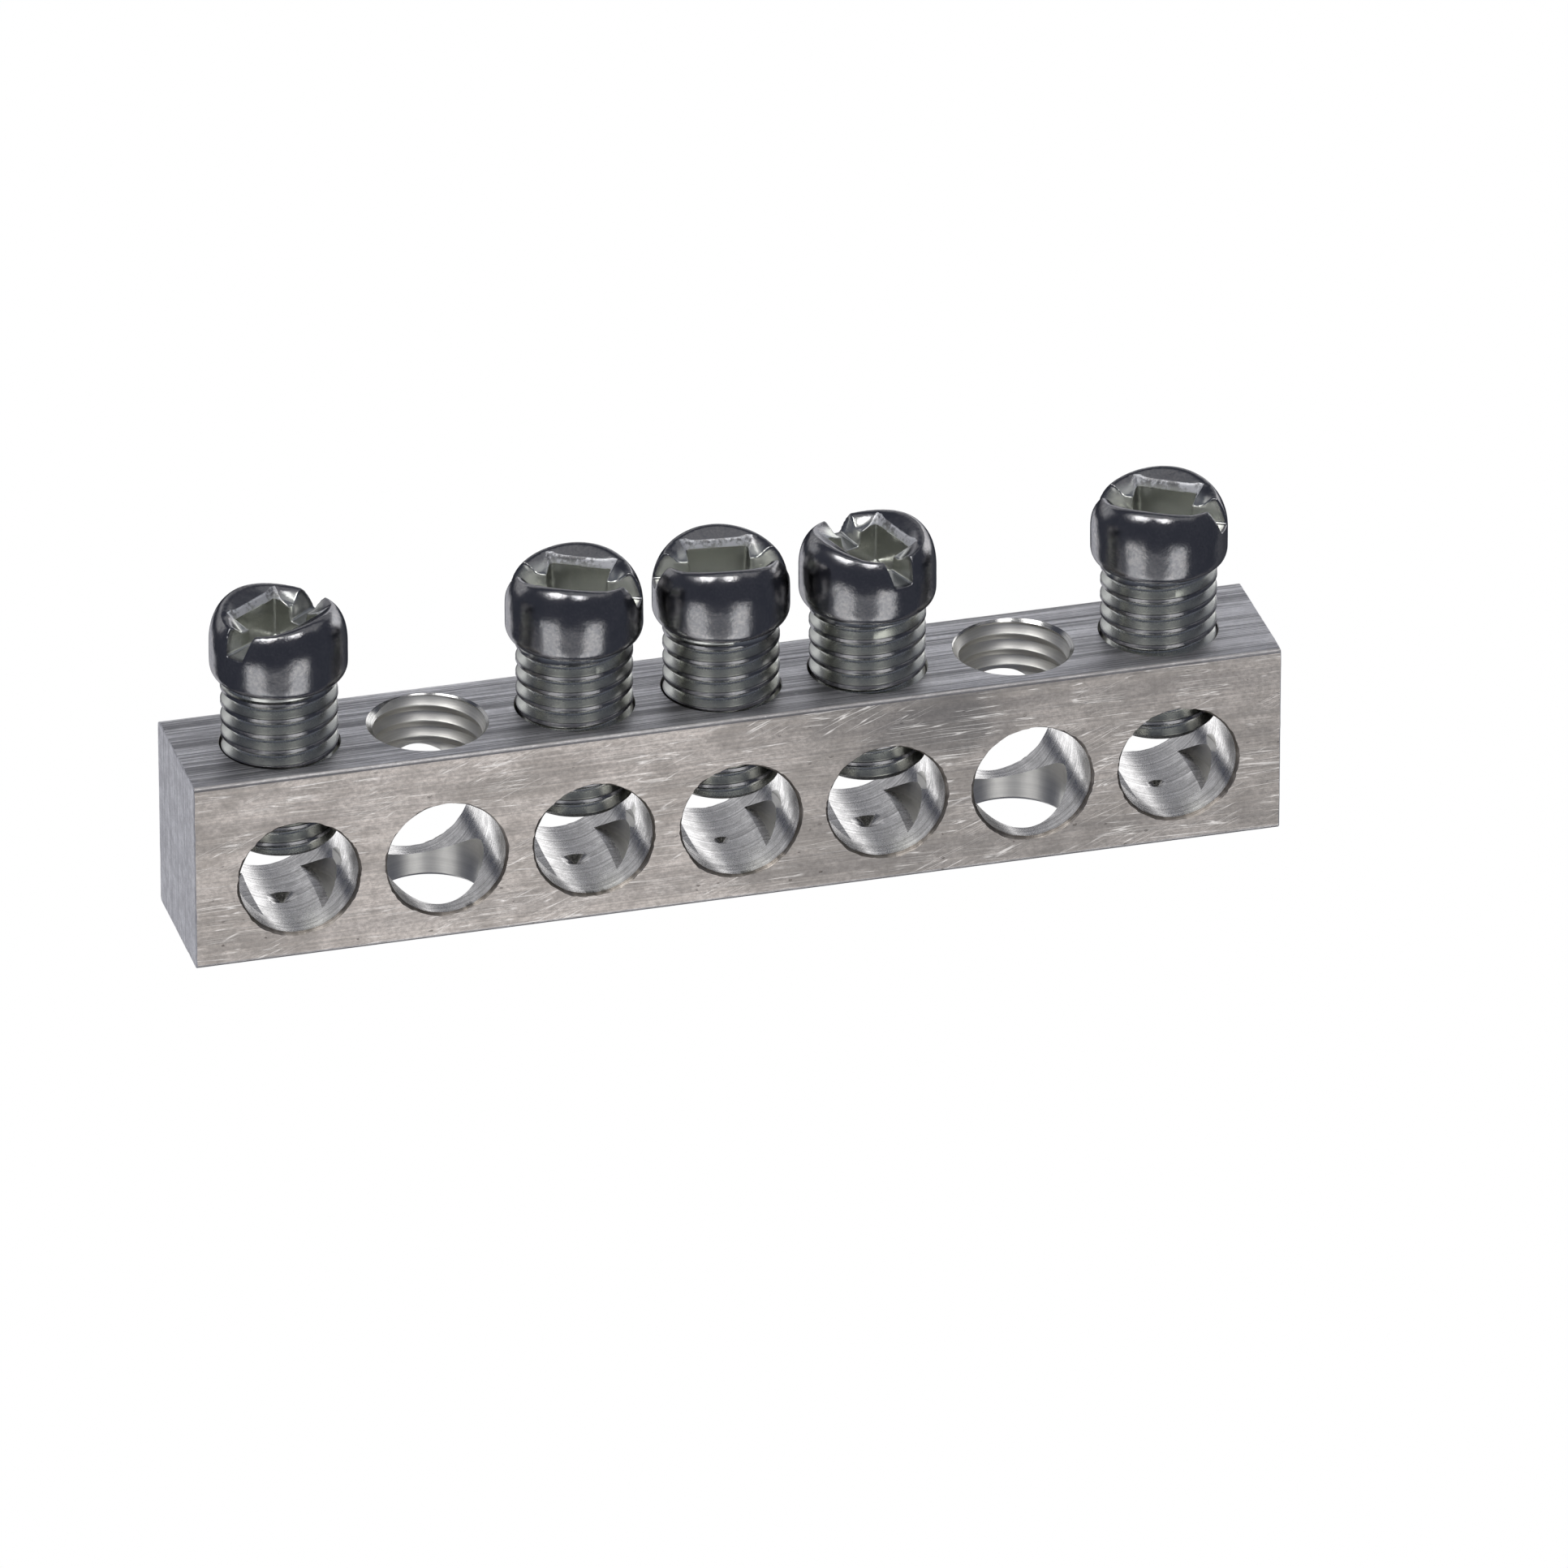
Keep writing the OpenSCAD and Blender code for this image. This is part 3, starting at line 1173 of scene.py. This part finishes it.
@dataclass
class ScrewHead:
    """A barrel-shaped head with a slot across it and a square socket, in millimetres.

    Heights are above the head's underside, and the slot runs along X.

    Attributes:
        radius, side_h: radius of the barrel, and height at which its side turns in to the shoulder.
        foot_r, foot_w, foot_h: radius of the flat foot, and width and height of the round edge above it.
        shoulder_in, shoulder_h: radius of the middle of the shoulder's curve, and height of its end.
        shoulder_reach: height above side_h at which that curve would close.
        crown_r, border_w: radius and width of the crown's border.
        shoulder_rise: how far the border rises on each side of the slot.
        ramp_slope, roll_from, roll_over: slope of the crown's ramp, and where and how fast it rolls over.
        dip, dip_w, dip_from: depth, width and inner radius of the crown's fall to the slot beside the socket.
        slot_floor_h, slot_floor_half, slot_half: height of the slot's floor, and half the slot's width there
            and at the shoulder's height.
        slot_flares: how much these halves grow from the socket's mouth to the crown's border.
        socket_half, socket_floor_half, socket_floor_h: half the socket's width above and at its floor, and
            the floor's height.
        bevel_half, bevel_low, bevel_high: half the width of the bevelled mouth, and its heights.
        cut_top: height that both cutters reach.
        voxel: grain of the mesh on which the edges are rounded.
        facets: number of facets round the head.
    """

    radius: float = 3.63
    foot_r: float = 1.5
    foot_w: float = 0.48
    foot_h: float = 0.7
    side_h: float = 1.75
    shoulder_in: float = 2.2
    shoulder_h: float = 3.4
    shoulder_reach: float = 1.99
    crown_r: float = 3.0
    border_w: float = 0.9
    shoulder_rise: float = 0.4
    ramp_slope: float = 0.55
    roll_from: float = 2.5
    roll_over: float = 1.45
    dip: float = 0.55
    dip_w: float = 1.1
    dip_from: float = 1.4
    slot_floor_h: float = 2.15
    slot_floor_half: float = 0.45
    slot_half: float = 0.66
    slot_flares: tuple[float, float] = (0.05, 0.13)
    socket_half: float = 1.62
    socket_floor_half: float = 1.45
    socket_floor_h: float = 1.1
    bevel_half: float = 1.8
    bevel_low: float = 3.14
    bevel_high: float = 3.5
    cut_top: float = 5.0
    voxel: float = 0.06
    facets: int = 144

    def crown(self, angle: float, radius: float, height: float) -> tuple[float, float]:
        """Raises the crown's border on each side of the slot, and lets it fall to the slot beside the socket.

        Args:
            angle: angle round the axis, from the slot's direction.
            radius: distance from the axis.
            height: height of the plain head.

        Returns:
            The radius and the raised height.
        """
        if height <= self.side_h:
            return radius, height
        side = abs(math.sin(angle)) ** 1.6
        if height < self.shoulder_h - 0.001 or radius > self.crown_r:
            up = (height - self.side_h) / (self.shoulder_h - self.side_h)
            return radius, height + self.shoulder_rise * (1 - (1 - up) ** 3) * side
        border = self.shoulder_h + self.shoulder_rise * side
        out = min(max((radius - self.crown_r + self.border_w) / self.border_w, 0.0), 1.0) ** 1.5
        return radius, self.dish(angle, radius) + (border - self.dish(angle, self.crown_r)) * out

    def dish(self, angle: float, radius: float) -> float:
        """Gives the height of the crown's ramp, which rises from the socket's bevel and rolls over outwards.

        Args:
            angle: angle round the axis, from the slot's direction.
            radius: distance from the axis.

        Returns:
            The height above the head's underside.
        """
        across = abs(radius * math.sin(angle))
        ramp = self.ramp_slope * max(across - self.bevel_half, 0.0)
        roll = self.roll_over * max(radius - self.roll_from, 0.0) ** 2
        beside = min(max((self.bevel_half - across) / self.dip_w, 0.0), 1.0)
        dip = self.dip * beside ** 0.8 if radius > self.dip_from else 0.0
        return self.bevel_high + ramp - roll - dip

    def body(self) -> Shape:
        """Makes the head with no recess.

        Returns:
            The head's shape.
        """
        steps, crown_rings = 12, 30
        half_w = self.radius - self.shoulder_in
        end = math.acos((self.crown_r - self.shoulder_in) / half_w)
        rise = (self.shoulder_h - self.side_h) / math.sin(end)
        outline = [(self.foot_r, 0.0)]
        for step in range(steps + 1):
            angle = -math.pi / 2 + math.pi / 2 * step / steps
            outline.append((self.radius - self.foot_w + self.foot_w * math.cos(angle),
                            self.foot_h + self.foot_h * math.sin(angle)))
        for step in range(1, steps + 1):
            outline.append((self.radius, self.foot_h + (self.side_h - self.foot_h) * step / steps))
        for step in range(1, 2 * steps + 1):
            angle = end * step / (2 * steps)
            outline.append((self.shoulder_in + half_w * math.cos(angle),
                            self.side_h + rise * math.sin(angle)))
        outline += [(self.crown_r * (1 - step / crown_rings), self.shoulder_h + 0.02)
                    for step in range(1, crown_rings - 1)]
        return lathe(outline, self.facets, self.crown)

    def slot(self) -> Shape:
        """Makes the cutter of the slot, which flares upwards and towards its ends.

        Returns:
            The cutter's shape.
        """
        sections = []
        for x in (-4.2, -3.0, -1.8, 1.8, 3.0, 4.2):
            out = (abs(x) - self.bevel_half) / (self.crown_r - self.bevel_half)
            low = self.slot_floor_half + self.slot_flares[0] * out
            mid = self.slot_half + self.slot_flares[1] * out
            lean = (mid - low) / (self.shoulder_h - self.slot_floor_h)
            wide = mid + lean * (self.cut_top - self.shoulder_h)
            sections.append([(x, -low, self.slot_floor_h), (x, low, self.slot_floor_h),
                             (x, wide, self.cut_top), (x, -wide, self.cut_top)])
        return loft(sections)

    def socket(self) -> Shape:
        """Makes the cutter of the square socket with its bevelled mouth.

        Returns:
            The cutter's shape.
        """
        wide = self.bevel_half + self.bevel_slope * (self.cut_top - self.bevel_high)
        levels = ((self.socket_floor_half, self.socket_floor_h), (self.socket_half, self.bevel_low),
                  (wide, self.cut_top))
        return loft([[(-s, -s, z), (s, -s, z), (s, s, z), (-s, s, z)] for s, z in levels])

    @property
    def bevel_slope(self) -> float:
        """How much half the bevelled mouth's width grows with height."""
        return (self.bevel_half - self.socket_half) / (self.bevel_high - self.bevel_low)

    def side_at(self, height: np.ndarray) -> np.ndarray:
        """Gives the radius of the head's outside at each height."""
        up = np.clip((height - self.side_h) / self.shoulder_reach, 0, 1)
        return self.shoulder_in + (self.radius - self.shoulder_in) * np.sqrt(1 - up ** 2)

    def build(self) -> Object:
        """Cuts the recess and rounds every edge a little, as cold forming and plating leave them.

        Returns:
            The head, still in millimetres.
        """
        head = self.body().as_object("head")
        combine(head, self.slot(), Operation.CUT)
        combine(head, self.socket(), Operation.CUT)
        remesh = head.modifiers.new("voxels", "REMESH")
        remesh.mode = "VOXEL"
        remesh.voxel_size = self.voxel
        smooth = head.modifiers.new("edges", "SMOOTH")
        smooth.factor = 0.5
        smooth.iterations = 4
        settle(head)
        return head


@dataclass
class ScrewShank:
    """The threaded shank, in millimetres below the head's underside.

    Attributes:
        length: from the head's underside to the end.
        crest_r, root_r, pitch: radii of the thread, and its rise in a turn.
        crest_share: share of that rise that the crest takes.
        neck_r, neck: radius and length of the plain neck.
        bevel: height of the cone at the end.
        facets: number of facets round the shank.
    """

    length: float = 9.525
    crest_r: float = 3.08
    root_r: float = 2.59
    pitch: float = 0.907
    neck_r: float = 2.95
    neck: float = 0.35
    bevel: float = 0.5
    crest_share: float = 0.24
    facets: int = 96

    def build(self, phase: float) -> Object:
        """Makes the thread, cuts its end and adds the neck.

        Args:
            phase: angle by which the thread is turned.

        Returns:
            The shank, still in millimetres.
        """
        crest, root, top = self.crest_r, self.root_r, self.crest_share
        depth = crest - root
        turn = [(0.0, crest - 0.03), (0.025, crest), (top / 2, crest - 0.008), (top - 0.025, crest),
                (top, crest - 0.03), (top + 0.03, crest - 0.1), (0.5, root + 0.06), (0.54, root + 0.01),
                (0.62, root), (0.68, root + 0.06), (0.96, crest - 0.1 * depth)]
        low = -self.length - 2 * self.pitch
        shank = helical_rod(turn, self.pitch, low, 1.2, self.facets, phase).as_object("shank")
        end_r, end = crest - self.bevel, -self.length
        envelope = [(end_r - 1.2, end + 0.12), (end_r - 0.4, end), (end_r, end),
                    (crest + 0.1, end + self.bevel + 0.1), (crest + 0.1, -self.neck - 0.1),
                    (self.neck_r - 0.35, 0.2)]
        neck = [(self.neck_r - 0.3, -self.neck - 0.16), (self.neck_r, -self.neck), (self.neck_r, 0.3)]
        combine(shank, lathe(envelope, self.facets), Operation.KEEP)
        combine(shank, lathe(neck, self.facets), Operation.JOIN)
        return shank


@dataclass
class TerminalScrew:
    """One clamping screw, in millimetres.

    Attributes:
        number: the position that the screw sits in.
        box: the box of its node.
        slot_angle: direction of its slot, in degrees from X.
        crest_z: height of the top of one of its thread's crests in front.
        head: the sizes of its head.
        shank: the sizes of its shank.
        front: the direction in which that crest is taken, in radians from X.
        unevenness: how far the surface of its head goes in, in millimetres.
    """

    number: int
    box: Box
    slot_angle: float
    crest_z: float
    head: ScrewHead
    shank: ScrewShank
    front: float = -1.835
    unevenness: float = 0.022

    @property
    def node(self) -> str:
        """Name of the node that the screw stands for."""
        return f"terminal_screw_{self.number}"

    def build(self, head: Object) -> Object:
        """Joins a copy of the head to its own shank, makes it uneven and puts it in its place.

        Args:
            head: the head that is copied.

        Returns:
            The finished screw.
        """
        screw = head.copy()
        screw.data = head.data.copy()
        screw.name = screw.data.name = f"clamping_screw_{self.number}"
        bpy.context.scene.collection.objects.link(screw)
        self.roughen(screw)
        screw.data.transform(Matrix.Rotation(math.radians(self.slot_angle), 4, "Z"))
        combine(screw, self.shank.build(self.thread_phase()), Operation.JOIN)
        self.mark_layers(screw)
        place = Vector((self.box.middle.x, self.box.middle.y, self.box.low.z + self.shank.length))
        screw.data.transform(Matrix.Translation(place))
        to_metres(screw)
        screw.data.shade_smooth()
        screw.data.set_sharp_from_angle(angle=math.radians(50))
        return screw

    def thread_phase(self) -> float:
        """Works out the turn of the thread that brings a crest to its height in front."""
        turns = (self.crest_z - self.box.low.z) / self.shank.pitch - self.shank.crest_share
        return self.front - TAU * turns

    def roughen(self, screw: Object) -> None:
        """Moves the head's surface in and out a little, differently on each screw.

        Args:
            screw: the head, in its own place.
        """
        seed = 11.0 * self.number
        mesh = screw.data
        points, normals = read_rows(mesh.vertices, "co"), read_rows(mesh.vertices, "normal")
        places = [Vector(p) for p in points]
        depth = np.array([0.5 + 0.5 * grain_at(p * 0.55, seed) + 0.2 * grain_at(p * 2.4, seed + 3)
                          for p in places])
        points -= normals * (self.unevenness * depth)[:, None]
        mesh.vertices.foreach_set("co", points.ravel())
        mesh.update()

    def mark_layers(self, screw: Object) -> None:
        """Writes how deep each corner lies in the recess or thread, where a lighter colour is painted as fill
        light, and if it is on the socket's ripped edge, which is whitened partly as a painted highlight.

        Args:
            screw: the joined screw, with its head's underside at 0.
        """
        head, edge = self.head, 0.3
        x, y, z = read_rows(screw.data.vertices, "co").T
        r = np.hypot(x, y)
        inside = np.clip((head.side_at(z) - r - 0.1) / edge, 0, 1) * (z > 0.6)
        # The recess and the thread take a lighter colour where these shares are high: painted fill light.
        recess = inside * np.clip((head.shoulder_h - z) / edge, 0, 1) * 0.85
        thread = np.clip((self.shank.crest_r - 0.02 - r) / 0.1, 0, 1) * (z < 0.01)
        turn = math.radians(self.slot_angle)
        along, across = x * math.cos(turn) + y * math.sin(turn), y * math.cos(turn) - x * math.sin(turn)
        mouth = head.socket_half + (z - head.bevel_low) * head.bevel_slope
        from_edge = np.abs(mouth - np.maximum(np.abs(along), np.abs(across)))
        high = (z > head.bevel_low - 0.02) & (z < head.bevel_high + 0.12)
        # The ripped edge of the socket's mouth is whitened: partly bare metal, partly a painted highlight.
        torn = np.clip((0.07 - from_edge) / 0.03, 0, 1) * high
        for name, values in zip(SCREW_LAYERS, (np.maximum(recess, thread), torn)):
            layer = screw.data.attributes.new(name, "FLOAT", "POINT")
            layer.data.foreach_set("value", values.astype(np.float32))

    def dress(self, screw: Object, plate: Material) -> None:
        """Gives the screw its plating."""
        screw.data.materials.clear()
        screw.data.materials.append(plate)


@dataclass(frozen=True)
class Camera:
    """The photograph's camera: a long lens a little to the left and above the bar.

    Attributes:
        azimuth: angle from the front towards the left end, in degrees.
        elevation: angle above the floor, in degrees.
        roll: turn about the line of sight, in degrees.
        distance: distance from the target, in metres.
        focal: focal length for a sensor 36 mm wide, in millimetres.
        slide: how far the line of sight passes right of and above the target, in metres.
        target: the point that the angles are taken about.
    """

    azimuth: float = 15.13
    elevation: float = 28.26
    roll: float = -0.095
    distance: float = 1.0765
    focal: float = 470.9
    slide: tuple[float, float] = (0.003278, -0.000528)
    target: tuple[float, float, float] = (0.0, 0.0, 0.00536)

    def axes(self) -> tuple[Vector, Vector, Vector]:
        """Works out which way the camera is turned.

        Returns:
            Its right, up and backward directions.
        """
        a, e, roll = (math.radians(v) for v in (self.azimuth, self.elevation, self.roll))
        back = Vector((-math.sin(a) * math.cos(e), -math.cos(a) * math.cos(e), math.sin(e)))
        right = Vector((math.cos(a), -math.sin(a), 0.0))
        up = back.cross(right)
        c, s = math.cos(roll), math.sin(roll)
        return right * c + up * s, up * c - right * s, back

    def build(self) -> None:
        """Makes the camera, and the scene looks through it."""
        right, up, back = self.axes()
        data = bpy.data.cameras.new("camera")
        data.lens = self.focal
        data.sensor_width = 36.0
        data.clip_end = 10.0
        camera = bpy.data.objects.new("camera", data)
        place = Vector(self.target) + back * self.distance + right * self.slide[0] + up * self.slide[1]
        camera.matrix_world = Matrix.Translation(place) @ Matrix((right, up, back)).transposed().to_4x4()
        bpy.context.scene.collection.objects.link(camera)
        bpy.context.scene.camera = camera


@dataclass(frozen=True)
class SoftBox:
    """A soft lamp that is aimed at the bar.

    Attributes:
        name: the lamp's name.
        azimuth: direction from the bar, in degrees from the front towards the right.
        elevation: height above the table, in degrees; below 0 the lamp stands for the table's own light.
        spread: width and height as seen from the bar, in degrees.
        brightness: brightness of its face, where the white table's is about 1.
        distance: distance from the bar, in metres.
    """

    name: str
    azimuth: float
    elevation: float
    spread: tuple[float, float]
    brightness: float
    distance: float = 0.7

    def build(self) -> None:
        """Adds the lamp to the scene."""
        a, e = math.radians(self.azimuth), math.radians(self.elevation)
        toward = Vector((math.sin(a) * math.cos(e), -math.cos(a) * math.cos(e), math.sin(e)))
        width, height = (2 * self.distance * math.tan(math.radians(s) / 2) for s in self.spread)
        data = bpy.data.lights.new(self.name, "AREA")
        data.shape = "RECTANGLE"
        data.size, data.size_y = width, height
        data.energy = self.brightness * math.pi * width * height
        lamp = bpy.data.objects.new(self.name, data)
        lamp.location = Vector((0, 0, 0.01)) + toward * self.distance
        lamp.rotation_euler = toward.to_track_quat("Z", "Y").to_euler()
        lamp.visible_camera = False
        bpy.context.scene.collection.objects.link(lamp)


@dataclass(frozen=True)
class Table:
    """The pale table, which isn't part of the object. Only the camera sees it, as an even white.

    Attributes:
        name: the table's name.
        half: distance from its middle to each side, in metres.
        drop: how far it lies below the bar's underside, in metres.
    """

    name: str = "white_table"
    half: float = 0.8
    drop: float = 0.0002

    def material(self) -> Material:
        """Builds the material.

        Returns:
            An even white.
        """
        material = bpy.data.materials.new(self.name)
        material.use_nodes = True
        shader = material.node_tree.nodes["Principled BSDF"]
        for name, value in (("Base Color", (0, 0, 0, 1)), ("Specular IOR Level", 0.0),
                            ("Emission Color", (1, 1, 1, 1)), ("Emission Strength", 1.0)):
            shader.inputs[name].default_value = value
        return material

    def build(self) -> None:
        """Adds the table to the scene."""
        corners = [(x * self.half, y * self.half, -self.drop)
                   for x, y in ((-1, -1), (1, -1), (1, 1), (-1, 1))]
        mesh = bpy.data.meshes.new(self.name)
        mesh.from_pydata(corners, [], [(0, 1, 2, 3)])
        mesh.materials.append(self.material())
        table = bpy.data.objects.new(self.name, mesh)
        table.visible_diffuse = table.visible_glossy = table.visible_shadow = False
        bpy.context.scene.collection.objects.link(table)


@dataclass(frozen=True)
class Studio:
    """The white table in a dim room, with bright lamps high in front and soft ones all round.

    Attributes:
        room: the room's own light.
        table: the table.
        lamps: the lamps.
    """

    room: Colour = (0.085, 0.092, 0.12, 1)
    table: Table = Table()
    lamps: tuple[SoftBox, ...] = (
        SoftBox("high_left_lamp", -65, 58, (24, 20), 4.5),
        SoftBox("high_right_lamp", 9, 60, (16, 18), 4.5),
        SoftBox("low_left_lamp", -55, -38, (28, 46), 0.95),
        SoftBox("low_right_lamp", 18, -38, (26, 46), 1.05),
        SoftBox("table_glow", -18, -42, (46, 36), 0.3),
        SoftBox("overhead", 0, 84, (100, 46), 0.26),
        SoftBox("back_right_wall", 138, 6, (66, 28), 1.65),
        SoftBox("back_left_wall", 204, 16, (60, 28), 0.5),
        SoftBox("back_high", 160, 36, (76, 20), 0.3),
        SoftBox("back_table", 200, -34, (30, 40), 1.6),
        SoftBox("side_table", 118, -28, (40, 40), 0.12),
    )

    def build(self) -> None:
        """Adds the table, the lamps and the room."""
        for part in (self.table, *self.lamps):
            part.build()
        world = bpy.data.worlds.new("room")
        world.use_nodes = True
        back = world.node_tree.nodes["Background"]
        back.inputs["Color"].default_value = self.room
        bpy.context.scene.world = world
        bpy.context.scene.view_settings.view_transform = "Standard"


# Each clamping screw's slot_angle and crest_z, by its position.
SCREWS = {1: (36.0, 12.65), 3: (-28.0, 12.01), 4: (-7.0, 12.71), 5: (107.4, 12.0), 7: (-32.0, 12.17)}


def main() -> None:
    """Builds the bar and its screws around the frame, and the studio."""
    logging.basicConfig(level=logging.INFO, format="%(message)s")
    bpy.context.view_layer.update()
    Camera().build()
    Studio().build()

    sizes = ScrewHead()
    screws = [TerminalScrew(number, Box.of(f"terminal_screw_{number}"), *seen, sizes, ScrewShank())
              for number, seen in SCREWS.items()]
    axes = {screw.number: screw.box.middle.x for screw in screws}
    pitch = axes[4] - axes[3]
    axes.update({number: axes[4] + (number - 4) * pitch for number in (2, 6)})

    bar = Bar(Box.of("bar"), axes)
    piece = bar.build()
    bar.dress(piece)
    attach(piece, "bar")
    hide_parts("bar")
    LOG.info("%s: %d faces", piece.name, len(piece.data.polygons))

    # The second colour is the lighter one painted into the recess and the threads as fill light.
    plate = ZincPlate("zinc_plate", (0.37, 0.36, 0.355, 1), (0.85, 0.86, 0.8, 1), 0.15, 0.007).material()
    head = sizes.build()
    for screw in screws:
        piece = screw.build(head)
        screw.dress(piece, plate)
        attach(piece, f"screw_{screw.number}")
        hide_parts(screw.node)
        LOG.info("%s: %d faces", piece.name, len(piece.data.polygons))
    bpy.data.objects.remove(head)


if __name__ == "__main__":
    main()
